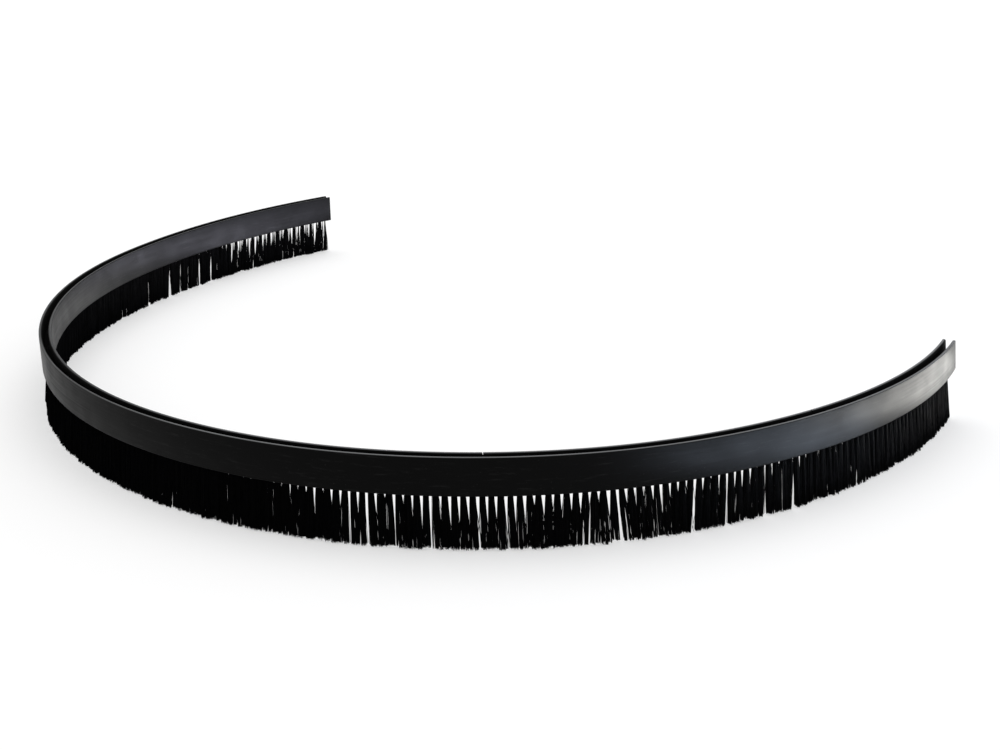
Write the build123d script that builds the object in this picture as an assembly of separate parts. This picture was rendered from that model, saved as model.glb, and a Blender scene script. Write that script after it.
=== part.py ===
from build123d import *
import math
import os

# A flexible brush strip, one metre long, stood on its bristle tips and curled a little over half a turn.
# The strip is one black plastic extrusion: a solid bar with two thin walls above it, and between the
# walls an open groove that is pushed over the edge of a sheet. A single row of blind holes is drilled
# up into the bar from below, each holds one tuft of bristles, and the row is raked so that the tips
# stand further out than the bar.
# Millimetres, +Z up. The floor is Z = 0, under the bristle tips. Distance along the strip is counted
# from its right-hand end, at the top of the walls, and the strip curls clockwise seen from above.
# The origin is on the floor under the middle of the strip's outer box.

# The extruded section.
body_width = 6.6
body_height = 18.0
groove_width = 3.2
groove_depth = 8.5
lip_bevel = 0.45
foot_bevel = 0.35

# The curl: tangent arcs of equal length, tight at the front right and straighter at the far end.
strip_length = 1000.0
start_heading = -118.0
bend_radii = [273.0, 248.0, 261.0, 287.5, 373.5]

# The right-hand end is sawn aslant, so the strip is this much longer at its foot than at its top.
end_slant = 8.5

# The tufts. Length is measured straight down from the bar, and rake is how far out the tips stand.
bristle_length = 25.0
tip_rake = 2.4
tuft_pitch = 4.0
tuft_gap_at_tip = 0.3
first_tuft = 3.75
last_tuft_margin = 2.0
tufts_per_run = 25

# The holes that hold the tufts. Holes and bundles are both drawn with this many flats.
hole_width = 2.6
hole_depth = 8.0
hole_clearance = 0.05
bundle_sides = 6

# Two narrow saw nicks in the top of the inner wall, at these distances along the strip.
nick_places = [137.3, 295.3]
nick_width = 0.5
nick_depth = 1.4

# Room that cutting tools take past a face, so that no skin is left.
overcut = 1.0

wall_thickness = (body_width - groove_width) / 2
arc_length = strip_length / len(bend_radii)
rake_slope = tip_rake / bristle_length


def step_along(x, y, heading, radius, distance):
    """Follows a clockwise arc from a point and heading, and returns the point and heading reached."""
    turned = heading - distance / radius
    x += radius * (math.sin(heading) - math.sin(turned))
    y += radius * (math.cos(turned) - math.cos(heading))
    return x, y, turned


def place_along(distance):
    """Returns the point and heading in plan, and the bend radius, at a distance along the strip."""
    x, y, heading = 0.0, 0.0, math.radians(start_heading)
    index = 0
    while distance >= arc_length and index < len(bend_radii) - 1:
        x, y, heading = step_along(x, y, heading, bend_radii[index], arc_length)
        distance -= arc_length
        index += 1
    x, y, heading = step_along(x, y, heading, bend_radii[index], distance)
    return x, y, heading, bend_radii[index]


def strip_plane(distance):
    """The upright plane square across the strip: X outward, Y up, Z along it, origin under the bar."""
    x, y, heading, _ = place_along(distance)
    outward = (-math.sin(heading), math.cos(heading), 0)
    along = (math.cos(heading), math.sin(heading), 0)
    return Plane(origin=(x, y, bristle_length), x_dir=outward, z_dir=along)


def channel_section():
    """The bar with its two walls and groove, the foot's middle at the origin."""
    bar = Rectangle(body_width, body_height, align=(Align.CENTER, Align.MIN))
    groove = Pos(0, body_height) * Rectangle(groove_width, 2 * groove_depth)
    section = bar - groove
    section = chamfer(section.vertices().group_by(Axis.Y)[-1], lip_bevel)
    return chamfer(section.vertices().group_by(Axis.Y)[0], foot_bevel)


def bent_stretch(section, start, length):
    """Turns the section about the bend's own upright axis."""
    x, y, heading, radius = place_along(start)
    centre = (x + radius * math.sin(heading), y - radius * math.cos(heading), 0)
    turn = math.degrees(length / radius)
    return revolve(strip_plane(start) * section, Axis(centre, (0, 0, -1)), turn)


def saw_plane():
    """The plane of the slanting saw cut, through the end's top, facing the strip that is kept."""
    side = strip_plane(0)
    top = side.origin + side.y_dir * body_height
    down_the_cut = -side.y_dir * body_height - side.z_dir * end_slant
    return Plane(origin=top, x_dir=side.x_dir, z_dir=down_the_cut.cross(side.x_dir))


def tuft_places():
    count = int((strip_length - last_tuft_margin - first_tuft) / tuft_pitch) + 1
    return [first_tuft + tuft_pitch * i for i in range(count)]


def bundle_ring(distance, height, width):
    """The corners of a bundle at a height above the bar's foot, this wide between its side flats."""
    side = strip_plane(distance)
    centre = side.origin + side.y_dir * height - side.x_dir * (rake_slope * height)
    corner_radius = width / 2 / math.cos(math.pi / bundle_sides)
    angles = [math.pi * (2 * i + 1) / bundle_sides for i in range(bundle_sides)]
    return [centre + side.z_dir * (corner_radius * math.cos(angle))
            + side.x_dir * (corner_radius * math.sin(angle)) for angle in angles]


def bundle(distance, top, top_width, bottom, bottom_width):
    """A raked, tapered bundle between two heights above the bar's foot."""
    corners = bundle_ring(distance, top, top_width) + bundle_ring(distance, bottom, bottom_width)
    return ConvexPolyhedron(corners).clean()


def hole(distance):
    return bundle(distance, hole_depth, hole_width, -overcut, hole_width)


def tuft(distance):
    """One tuft: narrowest at its fold in the hole, filling the mouth, and splayed at its tip."""
    mouth_width = hole_width - 2 * hole_clearance
    tip_width = tuft_pitch - tuft_gap_at_tip
    fold_width = mouth_width - (tip_width - mouth_width) / bristle_length * hole_depth
    return bundle(distance, hole_depth, fold_width, -bristle_length, tip_width)


def nick(distance):
    """A saw nick across the inner wall only."""
    profile = Rectangle(wall_thickness + groove_width / 2, 2 * nick_depth)
    middle = -(groove_width + wall_thickness) / 2
    return extrude(strip_plane(distance) * Pos(middle, body_height) * profile, nick_width / 2, both=True)


def channel_body():
    section = channel_section()
    spare = end_slant + overcut
    body = split(bent_stretch(section, -spare, arc_length + spare), saw_plane(), keep=Keep.TOP)
    for i in range(1, len(bend_radii)):
        body += bent_stretch(section, i * arc_length, arc_length)
    cutters = [hole(place) for place in tuft_places()]
    cutters += [nick(place) for place in nick_places]
    return body - cutters


def tuft_runs():
    """The tufts in runs from the right-hand end, each run one list of separate bundles."""
    places = tuft_places()
    starts = range(0, len(places), tufts_per_run)
    return [[tuft(place) for place in places[i:i + tufts_per_run]] for i in starts]


def main():
    body = channel_body()
    runs = tuft_runs()
    whole = Compound([body] + [one for run in runs for one in run]).bounding_box().center()
    to_origin = Pos(-whole.X, -whole.Y, 0)
    os.makedirs("parts", exist_ok=True)
    export_step(to_origin * body, "parts/channel_body.step")
    for number, run in enumerate(runs, start=1):
        node = Compound([to_origin * one for one in run])
        export_step(node, f"parts/bristle_tufts_{number:02d}.step")
    print("moved to the origin by", to_origin.position)


main()
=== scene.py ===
import math

import bpy
import numpy as np
from mathutils import Matrix, Vector


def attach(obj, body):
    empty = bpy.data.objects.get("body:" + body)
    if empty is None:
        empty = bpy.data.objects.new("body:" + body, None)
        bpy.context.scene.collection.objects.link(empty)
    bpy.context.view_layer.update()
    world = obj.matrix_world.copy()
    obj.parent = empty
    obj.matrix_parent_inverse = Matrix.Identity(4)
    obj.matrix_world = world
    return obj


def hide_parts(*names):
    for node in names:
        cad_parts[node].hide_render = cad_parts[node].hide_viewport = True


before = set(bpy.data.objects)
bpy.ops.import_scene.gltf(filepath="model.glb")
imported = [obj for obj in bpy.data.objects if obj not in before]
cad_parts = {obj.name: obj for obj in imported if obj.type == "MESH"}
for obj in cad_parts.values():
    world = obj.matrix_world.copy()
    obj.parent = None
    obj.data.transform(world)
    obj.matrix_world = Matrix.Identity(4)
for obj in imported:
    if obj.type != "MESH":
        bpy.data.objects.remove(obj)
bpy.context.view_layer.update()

# A flexible black brush strip, curled on its bristle tips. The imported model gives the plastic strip
# and its solid tufts. Here the strip is swept again with rounded lips and its extruded finish, and
# loose filaments stand for the solid tufts. All lengths are in metres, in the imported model's frame.
MM = 0.001

# The curl, as in the solid model: tangent arcs of equal length, counted from the right-hand end.
STRIP_START = (243.577 * MM, -119.723 * MM)
START_HEADING = math.radians(-118.0)
BEND_RADII = np.array([273.0, 248.0, 261.0, 287.5, 373.5]) * MM
STRIP_LENGTH = 1000.0 * MM
EVEN_STATIONS = 301

# The extruded section, and the slanting saw cut at the right-hand end.
BODY_WIDTH = 6.6 * MM
BODY_HEIGHT = 18.0 * MM
GROOVE_WIDTH = 3.2 * MM
GROOVE_DEPTH = 8.5 * MM
LIP_RADIUS = 0.45 * MM
GROOVE_LIP_RADIUS = 0.95 * MM
FOOT_RADIUS = 0.6 * MM
GROOVE_CORNER_RADIUS = 0.3 * MM
SHARP_FROM = math.radians(42)
END_SLANT = 8.5 * MM

# The nicks in the inner wall. Their sides fall within the slope.
NICK_PLACES = (137.3 * MM, 295.3 * MM)
NICK_WIDTH = 0.5 * MM
NICK_DEPTH = 1.4 * MM
NICK_SLOPE = 0.025 * MM

# Where the strip's finish and the painted highlight on its lips change, as heights above the
# foot, offsets from the middle of the section, and distances along the strip.
LIP_HIGHLIGHT_STARTS = BODY_HEIGHT - 0.25 * MM
LIP_HIGHLIGHT_FULL = BODY_HEIGHT - 0.02 * MM
MATT_WITHIN = GROOVE_WIDTH / 2 + 0.05 * MM
MATT_ENDS = 2.3 * MM
MATT_ABOVE = 5.0 * MM
# The painted highlight on the lips is full up to the first distance and falls to three tenths by the
# second.
HIGHLIGHT_BRIGHT_TO = 420.0 * MM
HIGHLIGHT_DIM_FROM = 520.0 * MM

# The tufts. Rake is how far outward the tips stand from the bar's middle.
BRISTLE_LENGTH = 25.0 * MM
TUFT_PITCH = 4.0 * MM
FIRST_TUFT = 3.75 * MM
TUFT_COUNT = 249
TUFTS_PER_RUN = 25
TIP_RAKE = 2.4 * MM
HOLE_RADIUS = 1.3 * MM
MOUTH_RADIUS = 1.22 * MM
TIP_HALF_DEPTH = 1.6 * MM
ROOT_IN_HOLE = 1.5 * MM

# The filaments of one tuft, and how far down the bristles the points of their lines are.
FILAMENTS = 100
FILAMENT_RADIUS = 0.12 * MM
FILAMENT_SIDES = 3
FALL_STEPS = np.array([0.0, 0.12, 0.28, 0.5, 0.75, 1.0])
GOLDEN_ANGLE = math.pi * (3 - math.sqrt(5))

# How the row looks along the strip, as pairs of distance in millimetres and value. The first is how
# far down the gap between two tufts runs before they meet, as a share of the bristles' length. The
# second is how far the tips have been combed along the strip, in millimetres.
GAP_REACH = ((0, 0.85), (140, 0.8), (185, 0.8), (220, 0.5), (265, 0.65), (300, 0.9), (325, 0.75),
             (350, 0.45), (380, 0.2), (400, 0.08), (885, 0.08), (905, 0.9), (1000, 1.0))
COMBING = ((0, -1.3), (12, -0.4), (150, 0.2), (185, 1.0), (200, 1.6), (212, -0.4), (236, -1.8),
           (250, 0.6), (270, 0.1), (282, -0.7), (318, -0.9), (350, -0.4), (420, -0.3), (1000, 0.2))
# How full the tufts are where they leave their holes, as a share of the mouth's radius.
FULLNESS = ((0, 1.04), (140, 1.04), (154, 0.93), (250, 0.93), (290, 0.98), (312, 1.06), (400, 1.1),
            (885, 1.1), (905, 0.95), (1000, 0.9))
# How untidily the filaments stand: 1 at the front, more where the far end was handled.
LOOSENESS = ((0, 1.0), (760, 1.0), (850, 2.5), (1000, 3.2))
# How firmly neighbouring filaments cling in clumps at the tips: 1 would make each clump a point.
CLINGING = ((0, 0.3), (130, 0.3), (150, 0.15), (205, 0.15), (222, 0.5), (246, 0.5), (258, 0.1),
            (400, 0.1), (450, 0.3), (1000, 0.3))

# The gaps at the front: how far down the gap after each tuft runs, from tuft 36 to 98. A
# gap looks shorter than it is, because filaments cross its lower end.
CROSSED_BELOW = 1.35
FIRST_SEEN = 36
SEEN_GAPS = (0.1, 0.06, 0.1, 0.4, 0.5, 0.1, 0.5, 0.6, 0.8, 0.5, 0.6, 0.1, 0.3, 0.45, 0.28, 0.22,
             0.45, 0.53, 0.3, 0.17, 0.25, 0.35, 0.5, 0.43, 0.19, 0.2, 0.42, 0.33, 0.42, 0.33, 0.45,
             0.24, 0.55, 0.6, 0.4, 0.53, 0.58, 0.6, 0.53, 0.64, 0.73, 0.4, 0.6, 0.55, 0.48, 0.14,
             0.5, 0.1, 0.5, 0.7, 0.44, 0.6, 0.3, 0.33, 0.13, 0.6, 0.18, 0.12, 0.6, 0.1, 0.1, 0.06,
             0.2)
# Tufts that part from the next one on the way down, and how wide at the tips, in millimetres.
PARTED_AFTER = ((34, 1.6), (36, 2.4), (40, 1.6), (45, 2.4), (49, 2.6), (58, 1.3), (61, 0.9),
                (69, 0.6), (70, 0.6), (73, 0.5), (78, 0.4), (82, 0.3), (85, 0.3), (87, 0.3),
                (94, 0.3), (203, 7.5), (209, 8.0), (212, 8.5), (214, 7.5), (217, 8.5), (220, 6.5))

# Every second tuft from this one on has lost filaments: the rest hang in a few strands, which hold
# together firmly at their roots and loosen by the given share lower down.
FIRST_SPARSE = 226
SPARSE_ROOT = 1.1
STRAND_CLING = 0.97
STRAND_RELEASE = 0.7

# How the tufts differ from one another: spreads are standard deviations, pairs are limits.
ROW_SEED = 7
GAP_REACH_SPREAD = 0.4
GAP_REACH_LIMITS = (0.04, 1.6)
TUFT_LEAN_SPREAD = 0.35 * MM
THINNED_WHERE_LOOSE = 0.2
ROOT_SIZE_LIMITS = (0.9, 1.05)
ROOT_ASIDE = 0.9
TUFT_RAKE_SPREAD = 0.28 * MM
TUFT_TRIM_MOST = 0.5 * MM

# The clumps of a tuft. A filament joins the nearest one, and for that, depth counts less than
# distance along the row.
CLUMPS = 6
CLUMP_SPREAD = 0.12
CLUMP_OUT_MOST = 0.9
CLUMP_DEPTH_COUNTS = 0.3
CLUMP_LEAN_SPREAD = 0.17 * MM
CLUMP_TRIM_SPREAD = 0.45 * MM
CLING_GROWTH = 1.5

# How the filaments of a tuft differ. Spill is how far they cross the middle of a closed gap at the
# tips, and leans grow with a power of the way down, so that filaments curve.
SHARE_ALONG_SPREAD = 0.09
SHARE_OUT_SPREAD = 0.06
SPILL = 0.35 * MM
LEAN_GROWTH = 1.2
STRAYS = 0.05
STRAY_LEAN_SPREAD = 1.2 * MM
LEAN_SPREAD = 0.1 * MM
BOW_SPREAD = 0.12 * MM
RAKE_SPREAD = 0.18 * MM
FURTHEST_OUT = 1.9 * MM
TRIM_SPREAD = 0.3 * MM

# The photograph's camera, fitted to the strip's edges.
CAMERA_PLACE = (4.9 * MM, -824.8 * MM, 272.9 * MM)
CAMERA_HEADING = math.radians(-0.38)
CAMERA_PITCH_DOWN = math.radians(18.11)
CAMERA_ROLL = math.radians(-1.03)
SENSOR_MM = 36.0
LENS_MM = 51.92
SHIFT_RIGHT = 0.005
SHIFT_UP = -0.025

# The studio. A softbox has a place, a point it faces, a width and height, watts and a tint. A glow
# card has a place on the floor, the turn of its long way in degrees, a length and width, a radiance
# and a tint. The cards lie where the satin walls mirror the floor: a hand's width away from them.
FLOOR_HALF = 6.0
CARD_HEIGHT = 2.0 * MM
SOFTBOXES = (
    ("softbox_overhead", (0.0, 0.2, 1.6), (0.0, 0.0, 0.0), 1.8, 1.8, 9.0, "#ffffff"),
    ("softbox_right", (1.15, 0.0, 0.13), (0.1, 0.0, 0.03), 1.3, 0.24, 6.5, "#e2ecff"))
GLOW_CARDS = (
    ("card_right", (0.316, -0.15), 68, 0.235, 0.095, 20.0, "#f4f3ee"),
    ("card_front_right", (0.235, -0.276), 43, 0.26, 0.12, 21.0, "#d3e1f5"),
    ("card_inside", (0.015, 0.2), 1, 0.29, 0.075, 30.0, "#e8e8fa"),
    ("card_inside_left", (-0.16, 0.115), 50, 0.13, 0.05, 9.0, "#f4f4f2"))


def linear(hex_colour):
    """An sRGB hex colour as linear red, green, blue and alpha: the standard sRGB curve, undone."""
    parts = [int(hex_colour[i:i + 2], 16) / 255 for i in (1, 3, 5)]
    return tuple(p / 12.92 if p <= 0.04045 else ((p + 0.055) / 1.055) ** 2.4
                 for p in parts) + (1.0,)


def strip_place(distance):
    """Points and headings in plan at an array of distances along the strip.

    The run on each arc is the distance less the arcs before it, kept between nothing and the arc's
    length. The first arc runs on backwards, and the last one forwards. Along a clockwise arc the
    heading falls by run over radius, and the point moves by the radius times the differences of the
    heading's sines and cosines.
    """
    x = np.full(distance.shape, STRIP_START[0])
    y = np.full(distance.shape, STRIP_START[1])
    heading = np.full(distance.shape, START_HEADING)
    arc = STRIP_LENGTH / len(BEND_RADII)
    for i, radius in enumerate(BEND_RADII):
        least = -np.inf if i == 0 else 0.0
        most = np.inf if i == len(BEND_RADII) - 1 else arc
        turned = heading - np.clip(distance - i * arc, least, most) / radius
        x = x + radius * (np.sin(heading) - np.sin(turned))
        y = y + radius * (np.cos(turned) - np.cos(heading))
        heading = turned
    return x, y, heading


def beside_strip(distance, along, outward, height):
    """Points at an offset along and out from the strip's middle line, and a height above the floor.

    The offsets are turned by the heading: along goes with its cosine and sine, and outward with its
    negative sine and cosine.
    """
    x, y, heading = strip_place(distance)
    return np.stack([x + along * np.cos(heading) - outward * np.sin(heading),
                     y + along * np.sin(heading) + outward * np.cos(heading),
                     height + np.zeros(x.shape)], axis=-1)


def rounded_corner(corner, radius, start_angle, turn, steps=4):
    """Points on a quarter circle set in a corner: its centre plus radius times cosine and sine."""
    angles = start_angle + turn * np.linspace(0, 1, steps + 1)
    middle = start_angle + turn / 2
    inward = -math.sqrt(2) * np.array([math.cos(middle), math.sin(middle)])
    centre = np.array(corner) + radius * inward
    return centre + radius * np.stack([np.cos(angles), np.sin(angles)], -1)


def channel_profile():
    """The section's outline, as outward offset and height above the foot, anticlockwise."""
    half, groove, top = BODY_WIDTH / 2, GROOVE_WIDTH / 2, BODY_HEIGHT
    floor = top - GROOVE_DEPTH
    quarter = math.pi / 2
    corners = [
        rounded_corner((half, 0), FOOT_RADIUS, -quarter, quarter),
        rounded_corner((half, top), LIP_RADIUS, 0, quarter),
        rounded_corner((groove, top), GROOVE_LIP_RADIUS, quarter, quarter),
        rounded_corner((groove, floor), GROOVE_CORNER_RADIUS, 0, -quarter, 3),
        rounded_corner((-groove, floor), GROOVE_CORNER_RADIUS, -quarter, -quarter, 3),
        rounded_corner((-groove, top), GROOVE_LIP_RADIUS, 0, quarter),
        rounded_corner((-half, top), LIP_RADIUS, quarter, quarter),
        rounded_corner((-half, 0), FOOT_RADIUS, 2 * quarter, quarter)]
    return np.concatenate(corners)


def swept_channel(material):
    """The plastic strip: its section carried along the curl, one ring of points for each station.

    A ring's points start at the saw cut, which lies further back the lower the point is, and are
    stretched evenly from there to the square end. At a nick the inner wall's points are lowered.
    """
    profile = channel_profile()
    nick_half = NICK_WIDTH / 2
    edges = [place + side for place in NICK_PLACES
             for side in (-nick_half - NICK_SLOPE, -nick_half, nick_half, nick_half + NICK_SLOPE)]
    even = np.linspace(0, STRIP_LENGTH, EVEN_STATIONS)
    stations = np.unique(np.concatenate([even, edges]))
    out = np.broadcast_to(profile[:, 0], (len(stations), len(profile)))
    height = np.broadcast_to(profile[:, 1], out.shape)
    saw_cut = -END_SLANT * (1 - height / BODY_HEIGHT)
    distance = saw_cut + stations[:, None] / STRIP_LENGTH * (STRIP_LENGTH - saw_cut)
    inner_wall = out < -GROOVE_WIDTH / 4
    for place in NICK_PLACES:
        at_nick = np.abs(stations - place) < nick_half + NICK_SLOPE / 2
        lowered = np.minimum(height, BODY_HEIGHT - NICK_DEPTH)
        height = np.where(at_nick[:, None] & inner_wall, lowered, height)
    points = beside_strip(distance, 0.0, out, BRISTLE_LENGTH + height)
    index = np.arange(points.shape[0] * points.shape[1]).reshape(points.shape[:2])
    after = np.roll(index, -1, axis=1)
    quads = np.stack([index[:-1], after[:-1], after[1:], index[1:]], -1).reshape(-1, 4)
    ends = [index[:1, ::-1], index[-1:]]
    mesh = build_mesh("channel_strip", points.reshape(-1, 3), [quads, *ends])
    run = mesh.attributes.new("strip_run", "FLOAT_VECTOR", "POINT")
    run.data.foreach_set("vector", np.stack([distance, out, height], -1).ravel())
    mesh.set_sharp_from_angle(angle=SHARP_FROM)
    piece = add_object("channel_strip", mesh, material)
    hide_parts("channel_body")
    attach(piece, "root")


def profile_along(pairs, distance):
    """Values at an array of distances, on straight lines between pairs of millimetres and value."""
    places, values = zip(*pairs)
    return np.interp(distance, np.array(places) * MM, values)


def is_sparse(tufts):
    """Which of some tufts have lost filaments."""
    return (tufts >= FIRST_SPARSE) & ((tufts - FIRST_SPARSE) % 2 == 0)


def row_habits():
    """The habits of the whole row, one number for each gap or tuft.

    For each gap: how far down it reaches, as a share of the bristles, and how wide it still is at
    the tips. For each tuft: its lean, the radius of its root, and how far the root sits to one side
    of its hole. A gap's number is one more than the number of the tuft before it.
    """
    rng = np.random.default_rng(ROW_SEED)
    places = FIRST_TUFT + TUFT_PITCH * np.arange(-1, TUFT_COUNT)
    gap_reach = profile_along(GAP_REACH, places + TUFT_PITCH / 2)
    gap_reach = gap_reach * rng.lognormal(0, GAP_REACH_SPREAD, TUFT_COUNT + 1)
    seen = slice(FIRST_SEEN + 1, FIRST_SEEN + 1 + len(SEEN_GAPS))
    gap_reach[seen] = CROSSED_BELOW * np.array(SEEN_GAPS)
    gap_reach = np.clip(gap_reach, *GAP_REACH_LIMITS)
    gap_open = np.zeros(TUFT_COUNT + 1)
    for tuft, opening in PARTED_AFTER:
        gap_open[tuft + 1] = opening * MM

    places = places[1:]
    lean = profile_along(COMBING, places) * MM + rng.normal(0, TUFT_LEAN_SPREAD, TUFT_COUNT)
    loose = profile_along(LOOSENESS, places)
    thinned = THINNED_WHERE_LOOSE * (loose - 1) * rng.uniform(0, 1, TUFT_COUNT)
    root_size = profile_along(FULLNESS, places) * rng.uniform(*ROOT_SIZE_LIMITS, TUFT_COUNT)
    root_radius = MOUTH_RADIUS * root_size * (1 - thinned)
    root_radius[is_sparse(np.arange(TUFT_COUNT))] = SPARSE_ROOT * MOUTH_RADIUS
    room = np.maximum(HOLE_RADIUS - root_radius, 0)
    root_shift = room * rng.uniform(-ROOT_ASIDE, ROOT_ASIDE, TUFT_COUNT)
    return gap_reach, gap_open, lean, root_radius, root_shift


def tuft_shares(rng, count, loose):
    """Each filament's share of its tuft's half width and half depth, and the habits of its clump.

    The roots are spread over the hole's mouth like the seeds of a sunflower: the radius grows with
    the root of the number, and each is turned on by the golden angle. A filament joins the clump
    whose middle is nearest, and takes that clump's middle, lean and trim.
    """
    number = np.arange(FILAMENTS)
    reach = np.sqrt((number + 0.5) / FILAMENTS)
    turn = number * GOLDEN_ANGLE + rng.uniform(0, 2 * np.pi, (count, 1))
    along = reach * np.cos(turn) + loose * rng.normal(0, SHARE_ALONG_SPREAD, turn.shape)
    out = reach * np.sin(turn) + rng.normal(0, SHARE_OUT_SPREAD, turn.shape)
    clumps = (count, CLUMPS)
    middle_along = np.linspace(-1, 1, CLUMPS) + rng.normal(0, CLUMP_SPREAD, clumps)
    middle_out = rng.uniform(-CLUMP_OUT_MOST, CLUMP_OUT_MOST, clumps)
    lean = rng.normal(0, CLUMP_LEAN_SPREAD, clumps)
    trim = np.abs(rng.normal(0, CLUMP_TRIM_SPREAD, clumps))
    apart = ((along[..., None] - middle_along[:, None]) ** 2
             + CLUMP_DEPTH_COUNTS * (out[..., None] - middle_out[:, None]) ** 2)
    nearest = np.argmin(apart, axis=-1)
    habits = [np.take_along_axis(values, nearest, 1)
              for values in (middle_along, middle_out, lean, trim)]
    return along, out, *habits


def beside_filament(gap_values, tufts, ahead):
    """Each filament's value, out of one for each gap: that of the gap on its side of the tuft."""
    return np.where(ahead, gap_values[tufts + 1][:, None], gap_values[tufts][:, None])[..., None]


def filament_lines(rng, tufts, gap_reach, gap_open, lean, root_radius, root_shift):
    """Centre lines of all filaments of some tufts: an array of tufts, filaments, heights and xyz.

    On the way down each filament keeps its share of the tuft's half width, while it is drawn
    towards the middle of its clump. The half width grows evenly until the gap beside it has closed.
    Where the gap stays open, it shrinks again by half of the opening. To that come the row's rake,
    the lean of the tuft and the clump, and the filament's own bow. In a sparse tuft the clumps are
    tight strands, which loosen between a quarter and three quarters of the way down.
    """
    place = FIRST_TUFT + TUFT_PITCH * tufts
    loose = profile_along(LOOSENESS, place)[:, None]
    share_along, share_out, middle_along, middle_out, clump_lean, clump_trim = tuft_shares(
        rng, len(tufts), loose)
    shape = share_along.shape
    cling = profile_along(CLINGING, place)[:, None, None] * FALL_STEPS ** CLING_GROWTH
    strand_cling = STRAND_CLING - STRAND_RELEASE * np.clip(2 * FALL_STEPS - 0.5, 0, 1)
    cling = np.where(is_sparse(tufts)[:, None, None], strand_cling, cling)

    ahead = share_along > 0
    opening = beside_filament(gap_open, tufts, ahead)
    closed = (TUFT_PITCH - opening * FALL_STEPS) / 2
    spread = np.minimum(FALL_STEPS / beside_filament(gap_reach, tufts, ahead), 1.0)
    spill = np.where(opening > 0, 0.0, SPILL) * FALL_STEPS
    # Where neighbours lean apart, each half reaches out far enough to meet the other.
    lean_apart = np.diff(lean, prepend=lean[0], append=lean[-1]) / 2
    lean_apart = np.where(opening > 0, 0.0, beside_filament(lean_apart, tufts, ahead))
    root = root_radius[tufts][:, None, None]
    half_width = (root + (closed - root) * spread + spill
                  + lean_apart * FALL_STEPS ** LEAN_GROWTH)
    half_depth = root + (TIP_HALF_DEPTH - root) * FALL_STEPS

    is_stray = rng.uniform(0, 1, shape) < STRAYS * loose
    stray = np.where(is_stray, rng.normal(0, STRAY_LEAN_SPREAD, shape), 0.0)
    own_lean = lean[tufts][:, None] + rng.normal(0, LEAN_SPREAD, shape) + stray + clump_lean
    bow = rng.normal(0, BOW_SPREAD, shape)[..., None] * np.sin(np.pi * FALL_STEPS)
    along = (share_along[..., None] * (1 - cling) + middle_along[..., None] * cling) * half_width
    along = along + bow + root_shift[tufts][:, None, None] * (1 - FALL_STEPS)
    along = along + own_lean[..., None] * FALL_STEPS ** LEAN_GROWTH

    own_rake = rng.normal(0, RAKE_SPREAD, shape)
    own_rake = TIP_RAKE + own_rake + rng.normal(0, TUFT_RAKE_SPREAD, (len(tufts), 1))
    outward = (share_out[..., None] * (1 - cling) + middle_out[..., None] * cling) * half_depth
    outward = outward + own_rake[..., None] * FALL_STEPS
    furthest = (TIP_RAKE + FURTHEST_OUT) * FALL_STEPS + MOUTH_RADIUS * (1 - FALL_STEPS)
    outward = np.minimum(outward, furthest)

    trim = np.abs(rng.normal(0, TRIM_SPREAD, shape)) + clump_trim
    trim = trim + rng.uniform(0, TUFT_TRIM_MOST, (len(tufts), 1))
    height = BRISTLE_LENGTH - FALL_STEPS * (BRISTLE_LENGTH - trim[..., None])

    # One more point above the mouth carries each filament into its hole.
    along = np.concatenate([along[..., :1], along], -1)
    outward = np.concatenate([outward[..., :1], outward], -1)
    height = np.concatenate([height[..., :1] + ROOT_IN_HOLE, height], -1)
    return beside_strip(np.broadcast_to(place[:, None, None], along.shape), along, outward, height)


def tube_mesh(name, lines, radius, sides):
    """Thin tubes round many centre lines: each ring is a regular polygon, level about its point.

    The filaments stand nearly upright, so a level ring is square enough across them. Quads join
    each ring to the next, and one polygon closes each end.
    """
    rings = lines.shape[-2]
    lines = lines.reshape(-1, rings, 3)
    angle = np.arange(sides) * 2 * np.pi / sides
    circle = np.stack([np.cos(angle), np.sin(angle), np.zeros(sides)], -1) * radius
    points = lines[:, :, None, :] + circle
    index = np.arange(len(lines) * rings * sides).reshape(len(lines), rings, sides)
    after = np.roll(index, -1, axis=2)
    quads = np.stack([index[:, :-1], index[:, 1:], after[:, 1:], after[:, :-1]], -1).reshape(-1, 4)
    return build_mesh(name, points.reshape(-1, 3), [quads, index[:, 0], index[:, -1, ::-1]])


def build_mesh(name, points, face_groups):
    """A mesh from an array of points and arrays of faces, each array holding faces of one size."""
    mesh = bpy.data.meshes.new(name)
    loops = np.concatenate([faces.ravel() for faces in face_groups])
    totals = np.concatenate([np.full(len(faces), faces.shape[1]) for faces in face_groups])
    mesh.vertices.add(len(points))
    mesh.vertices.foreach_set("co", points.ravel())
    mesh.loops.add(len(loops))
    mesh.loops.foreach_set("vertex_index", loops)
    mesh.polygons.add(len(totals))
    mesh.polygons.foreach_set("loop_start", np.concatenate([[0], np.cumsum(totals)[:-1]]))
    mesh.polygons.foreach_set("use_smooth", np.ones(len(totals), bool))
    mesh.update(calc_edges=True)
    return mesh


def add_object(name, mesh, material):
    """Puts a mesh in the scene at the origin, with one material."""
    piece = bpy.data.objects.new(name, mesh)
    bpy.context.scene.collection.objects.link(piece)
    piece.data.materials.append(material)
    return piece


def make_bristles(material):
    """The filaments of each run of tufts, as one mesh that stands for the run's solid tufts."""
    habits = row_habits()
    for first in range(0, TUFT_COUNT, TUFTS_PER_RUN):
        number = first // TUFTS_PER_RUN + 1
        tufts = np.arange(first, min(first + TUFTS_PER_RUN, TUFT_COUNT))
        lines = filament_lines(np.random.default_rng(number), tufts, *habits)
        name = f"bristles_{number:02d}"
        mesh = tube_mesh(name, lines, FILAMENT_RADIUS, FILAMENT_SIDES)
        piece = add_object(name, mesh, material)
        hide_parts(f"bristle_tufts_{number:02d}")
        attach(piece, "root")


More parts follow.
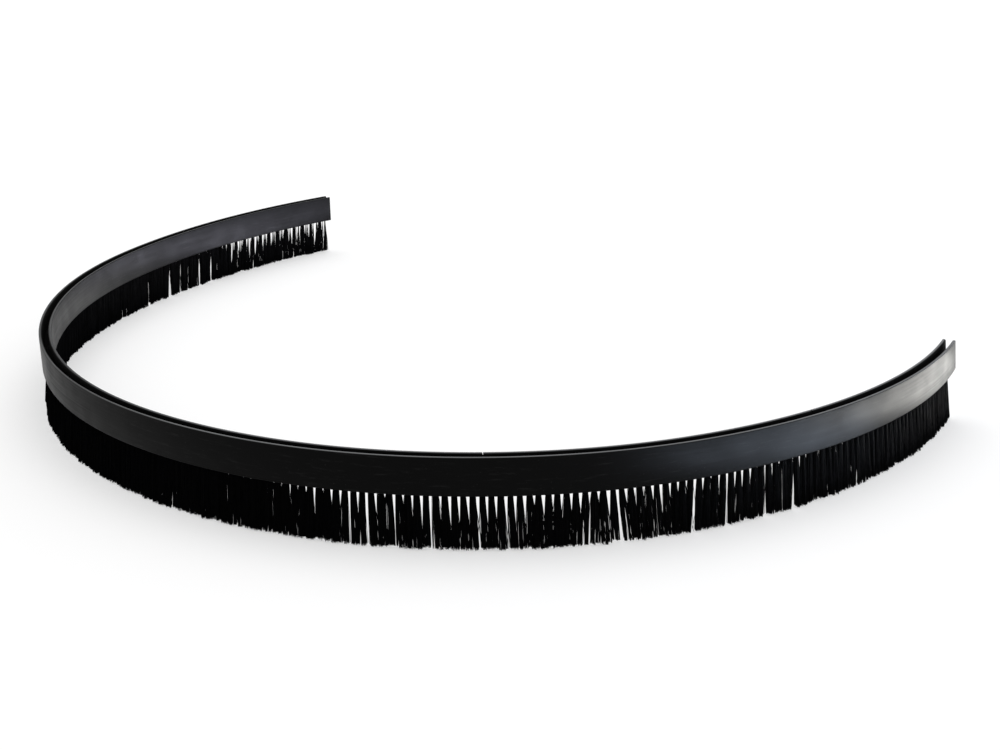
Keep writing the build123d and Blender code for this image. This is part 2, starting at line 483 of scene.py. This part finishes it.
def add_node(tree, kind, inputs=(), **settings):
    """Adds one node, sets its properties, and sets or links its inputs by name or number."""
    node = tree.nodes.new(kind)
    for name, value in settings.items():
        setattr(node, name, value)
    for name, value in dict(inputs).items():
        if isinstance(value, bpy.types.NodeSocket):
            tree.links.new(value, node.inputs[name])
        else:
            node.inputs[name].default_value = value
    return node


def new_material(name):
    """An empty material, and its node tree to build on."""
    material = bpy.data.materials.new(name)
    material.use_nodes = True
    material.node_tree.nodes.clear()
    return material, material.node_tree


def extruded_pvc():
    """Black plasticised PVC as it leaves the die: satin, nearly black face on, pale seen aslant.

    Its patterns follow the strip by the mesh's own attribute: the distance along the strip, the
    offset outward from the section's middle, and the height above the foot.
    """
    material, tree = new_material("extruded_black_pvc")
    run = add_node(tree, "ShaderNodeAttribute", attribute_name="strip_run").outputs["Vector"]
    place = add_node(tree, "ShaderNodeSeparateXYZ", {"Vector": run}).outputs
    # Die lines: fine streaks that run the strip's length, a few to the millimetre of height.
    stretched = add_node(tree, "ShaderNodeMapping", {"Vector": run, "Scale": (12.0, 900.0, 1500.0)})
    die_lines = add_node(tree, "ShaderNodeTexNoise", {
        "Vector": stretched.outputs["Vector"], "Scale": 1.0, "Detail": 3.0, "Roughness": 0.6})
    # Handling scuffs: short pale dashes along the strip, only at the noise's peaks.
    dashes = add_node(tree, "ShaderNodeMapping", {"Vector": run, "Scale": (90.0, 500.0, 900.0)})
    scuff_noise = add_node(tree, "ShaderNodeTexNoise", {
        "Vector": dashes.outputs["Vector"], "Scale": 1.0, "Detail": 5.0, "Roughness": 0.7})
    scuffs = add_node(tree, "ShaderNodeMapRange", {
        "Value": scuff_noise.outputs["Fac"],
        "From Min": 0.57, "From Max": 0.76, "To Min": 0.0, "To Max": 0.5})
    # Dust: single pale specks, less than half a millimetre across.
    specks = add_node(tree, "ShaderNodeTexNoise", {"Vector": run, "Scale": 1100.0, "Detail": 1.0})
    dust = add_node(tree, "ShaderNodeMapRange", {
        "Value": specks.outputs["Fac"],
        "From Min": 0.74, "From Max": 0.8, "To Min": 0.0, "To Max": 0.5})
    marks = add_node(tree, "ShaderNodeMath", {
        0: scuffs.outputs["Result"], 1: dust.outputs["Result"]}, operation="MAXIMUM")
    tint = add_node(tree, "ShaderNodeMix", {
        0: marks.outputs[0], 6: linear("#050505"), 7: linear("#2a2a2a")}, data_type="RGBA")
    # Painted highlight on the lips: the top of each wall is painted paler, as the lit lips look,
    # brightest along the front and dimmer further along the curl.
    lips = add_node(tree, "ShaderNodeMapRange", {
        "Value": place["Z"],
        "From Min": LIP_HIGHLIGHT_STARTS, "From Max": LIP_HIGHLIGHT_FULL, "To Min": 0.0, "To Max": 1.0})
    highlight_fade = add_node(tree, "ShaderNodeMapRange", {
        "Value": place["X"],
        "From Min": HIGHLIGHT_BRIGHT_TO, "From Max": HIGHLIGHT_DIM_FROM, "To Min": 1.0, "To Max": 0.3})
    lip_highlight_mask = add_node(tree, "ShaderNodeMath", {
        0: lips.outputs["Result"], 1: highlight_fade.outputs["Result"]}, operation="MULTIPLY")
    lip_highlit_tint = add_node(tree, "ShaderNodeMix", {
        0: lip_highlight_mask.outputs[0], 6: tint.outputs[2], 7: linear("#6a6b6c")}, data_type="RGBA")
    # The groove's own faces are matt, as the die's core leaves them.
    aside = add_node(tree, "ShaderNodeMath", {0: place["Y"]}, operation="ABSOLUTE")
    inside = add_node(tree, "ShaderNodeMapRange", {
        "Value": aside.outputs[0],
        "From Min": MATT_WITHIN, "From Max": MATT_ENDS, "To Min": 0.5, "To Max": 0.0})
    above = add_node(tree, "ShaderNodeMath", {
        0: place["Z"], 1: MATT_ABOVE}, operation="GREATER_THAN")
    matt = add_node(tree, "ShaderNodeMath", {
        0: inside.outputs["Result"], 1: above.outputs[0]}, operation="MULTIPLY")
    # Cloudy handling marks a couple of centimetres across change the gloss.
    clouds = add_node(tree, "ShaderNodeTexNoise", {"Vector": run, "Scale": 70.0, "Detail": 4.0})
    cloudy = add_node(tree, "ShaderNodeMapRange", {
        "Value": clouds.outputs["Fac"],
        "From Min": 0.3, "From Max": 0.7, "To Min": -0.05, "To Max": 0.05})
    # The die lines carry gloss too: smoother along the ridges, so that streaks show at a slant.
    streaks = add_node(tree, "ShaderNodeMapRange", {
        "Value": die_lines.outputs["Fac"],
        "From Min": 0.3, "From Max": 0.7, "To Min": 0.34, "To Max": 0.48})
    rough = add_node(tree, "ShaderNodeMath", {
        0: cloudy.outputs["Result"], 1: streaks.outputs["Result"]}, operation="ADD")
    rough = add_node(tree, "ShaderNodeMath", {
        0: rough.outputs[0], 1: matt.outputs[0]}, operation="ADD", use_clamp=True)
    bump = add_node(tree, "ShaderNodeBump", {
        "Height": die_lines.outputs["Fac"], "Strength": 0.5, "Distance": 0.04 * MM})
    shader = add_node(tree, "ShaderNodeBsdfPrincipled", {
        "Base Color": lip_highlit_tint.outputs[2], "Roughness": rough.outputs[0],
        "Specular IOR Level": 0.042, "Normal": bump.outputs["Normal"]})
    add_node(tree, "ShaderNodeOutputMaterial", {"Surface": shader.outputs["BSDF"]})
    return material


def bristle_fibre():
    """Black polypropylene filament, drawn and crimped: nearly black, with a weak soft shine."""
    material, tree = new_material("black_polypropylene_bristle")
    place = add_node(tree, "ShaderNodeTexCoord").outputs["Object"]
    # Patches of a millimetre or two, so that neighbouring filaments differ a little in tone.
    patches = add_node(tree, "ShaderNodeTexNoise", {"Vector": place, "Scale": 700.0, "Detail": 2.0})
    tint = add_node(tree, "ShaderNodeMix", {
        0: patches.outputs["Fac"], 6: linear("#020203"), 7: linear("#0b0b0c")}, data_type="RGBA")
    shader = add_node(tree, "ShaderNodeBsdfPrincipled", {
        "Base Color": tint.outputs[2], "Roughness": 0.6, "Specular IOR Level": 0.014})
    add_node(tree, "ShaderNodeOutputMaterial", {"Surface": shader.outputs["BSDF"]})
    return material


def seen_directly(tree):
    """One for camera, glossy and transmission rays, which meet a white background, else nought."""
    path = add_node(tree, "ShaderNodeLightPath").outputs
    seen = add_node(tree, "ShaderNodeMath", {
        0: path["Is Camera Ray"], 1: path["Is Glossy Ray"]}, operation="MAXIMUM")
    seen = add_node(tree, "ShaderNodeMath", {
        0: seen.outputs[0], 1: path["Is Transmission Ray"]}, operation="MAXIMUM")
    return seen.outputs[0]


def make_floor():
    """A white paper floor: one level square about the origin, which glows a little to the eye."""
    half = FLOOR_HALF
    points = np.array([[-half, -half, 0], [half, -half, 0], [half, half, 0], [-half, half, 0]])
    material, tree = new_material("white_paper")
    paper = add_node(tree, "ShaderNodeBsdfDiffuse", {"Color": linear("#d0d0d0")})
    # The glow grows away from the strip, where less light falls, so that the paper stays white.
    place = add_node(tree, "ShaderNodeTexCoord").outputs["Object"]
    away = add_node(tree, "ShaderNodeVectorMath", {0: place}, operation="LENGTH")
    lift = add_node(tree, "ShaderNodeMapRange", {
        "Value": away.outputs["Value"],
        "From Min": 0.35, "From Max": 1.6, "To Min": 0.38, "To Max": 0.7},
        interpolation_type="SMOOTHSTEP")
    glow = add_node(tree, "ShaderNodeEmission", {
        "Color": (1, 1, 1, 1), "Strength": lift.outputs[0]})
    dark = add_node(tree, "ShaderNodeEmission", {"Strength": 0.0})
    lift = add_node(tree, "ShaderNodeMixShader", {
        0: seen_directly(tree), 1: dark.outputs[0], 2: glow.outputs[0]})
    both = add_node(tree, "ShaderNodeAddShader", {0: paper.outputs[0], 1: lift.outputs[0]})
    add_node(tree, "ShaderNodeOutputMaterial", {"Surface": both.outputs[0]})
    mesh = build_mesh("paper_floor", points, [np.array([[0, 1, 2, 3]])])
    add_object("paper_floor", mesh, material)


def add_softbox(name, place, aim, width, height, watts, tint):
    """A rectangular soft light at a place, turned to face a point."""
    lamp = bpy.data.lights.new(name, "AREA")
    lamp.shape = "RECTANGLE"
    lamp.size, lamp.size_y = width, height
    lamp.energy = watts
    lamp.color = linear(tint)[:3]
    piece = bpy.data.objects.new(name, lamp)
    bpy.context.scene.collection.objects.link(piece)
    piece.location = place
    piece.rotation_euler = (Vector(aim) - Vector(place)).to_track_quat("-Z", "Y").to_euler()
    piece.visible_camera = False
    return piece


def add_glow_card(name, place, long_way, length, width, radiance, tint):
    """A bright oval card lying on the floor, which only reflections show: it lights no surface.

    Its power is its radiance times pi times its area.
    """
    area = math.pi * length * width / 4
    card = add_softbox(name, (*place, CARD_HEIGHT), (*place, 1.0), length, width,
                       radiance * math.pi * area, tint)
    card.data.shape = "ELLIPSE"
    face_up = Matrix.Rotation(math.pi, 3, "X")
    card.rotation_euler = (Matrix.Rotation(math.radians(long_way), 3, "Z") @ face_up).to_euler()
    card.visible_diffuse = False
    card.visible_transmission = False


def light_studio():
    """A pale room, white to the eye, a softbox overhead, one low at the right, and the cards."""
    world = bpy.data.worlds.new("pale_room")
    bpy.context.scene.world = world
    world.use_nodes = True
    tree = world.node_tree
    tree.nodes.clear()
    strength = add_node(tree, "ShaderNodeMapRange", {
        "Value": seen_directly(tree),
        "From Min": 0.0, "From Max": 1.0, "To Min": 0.8, "To Max": 1.0})
    room = add_node(tree, "ShaderNodeBackground", {
        "Color": linear("#ffffff"), "Strength": strength.outputs["Result"]})
    add_node(tree, "ShaderNodeOutputWorld", {"Surface": room.outputs[0]})
    for softbox in SOFTBOXES:
        add_softbox(*softbox)
    for card in GLOW_CARDS:
        add_glow_card(*card)


def place_camera():
    """The photograph's camera: rolled about its own axis, tipped down, and turned to its heading.

    Before those turns it looks straight down, so it is tipped up from there by a quarter turn less
    its pitch.
    """
    camera = bpy.data.cameras.new("photo_camera")
    camera.sensor_width = SENSOR_MM
    camera.lens = LENS_MM
    camera.shift_x, camera.shift_y = SHIFT_RIGHT, SHIFT_UP
    piece = bpy.data.objects.new("photo_camera", camera)
    bpy.context.scene.collection.objects.link(piece)
    piece.location = CAMERA_PLACE
    turn = (Matrix.Rotation(CAMERA_HEADING, 3, "Z")
            @ Matrix.Rotation(math.pi / 2 - CAMERA_PITCH_DOWN, 3, "X")
            @ Matrix.Rotation(CAMERA_ROLL, 3, "Z"))
    piece.rotation_euler = turn.to_euler("XYZ")
    bpy.context.scene.camera = piece


place_camera()
swept_channel(extruded_pvc())
make_bristles(bristle_fibre())
make_floor()
light_studio()
bpy.context.scene.view_settings.view_transform = "Standard"
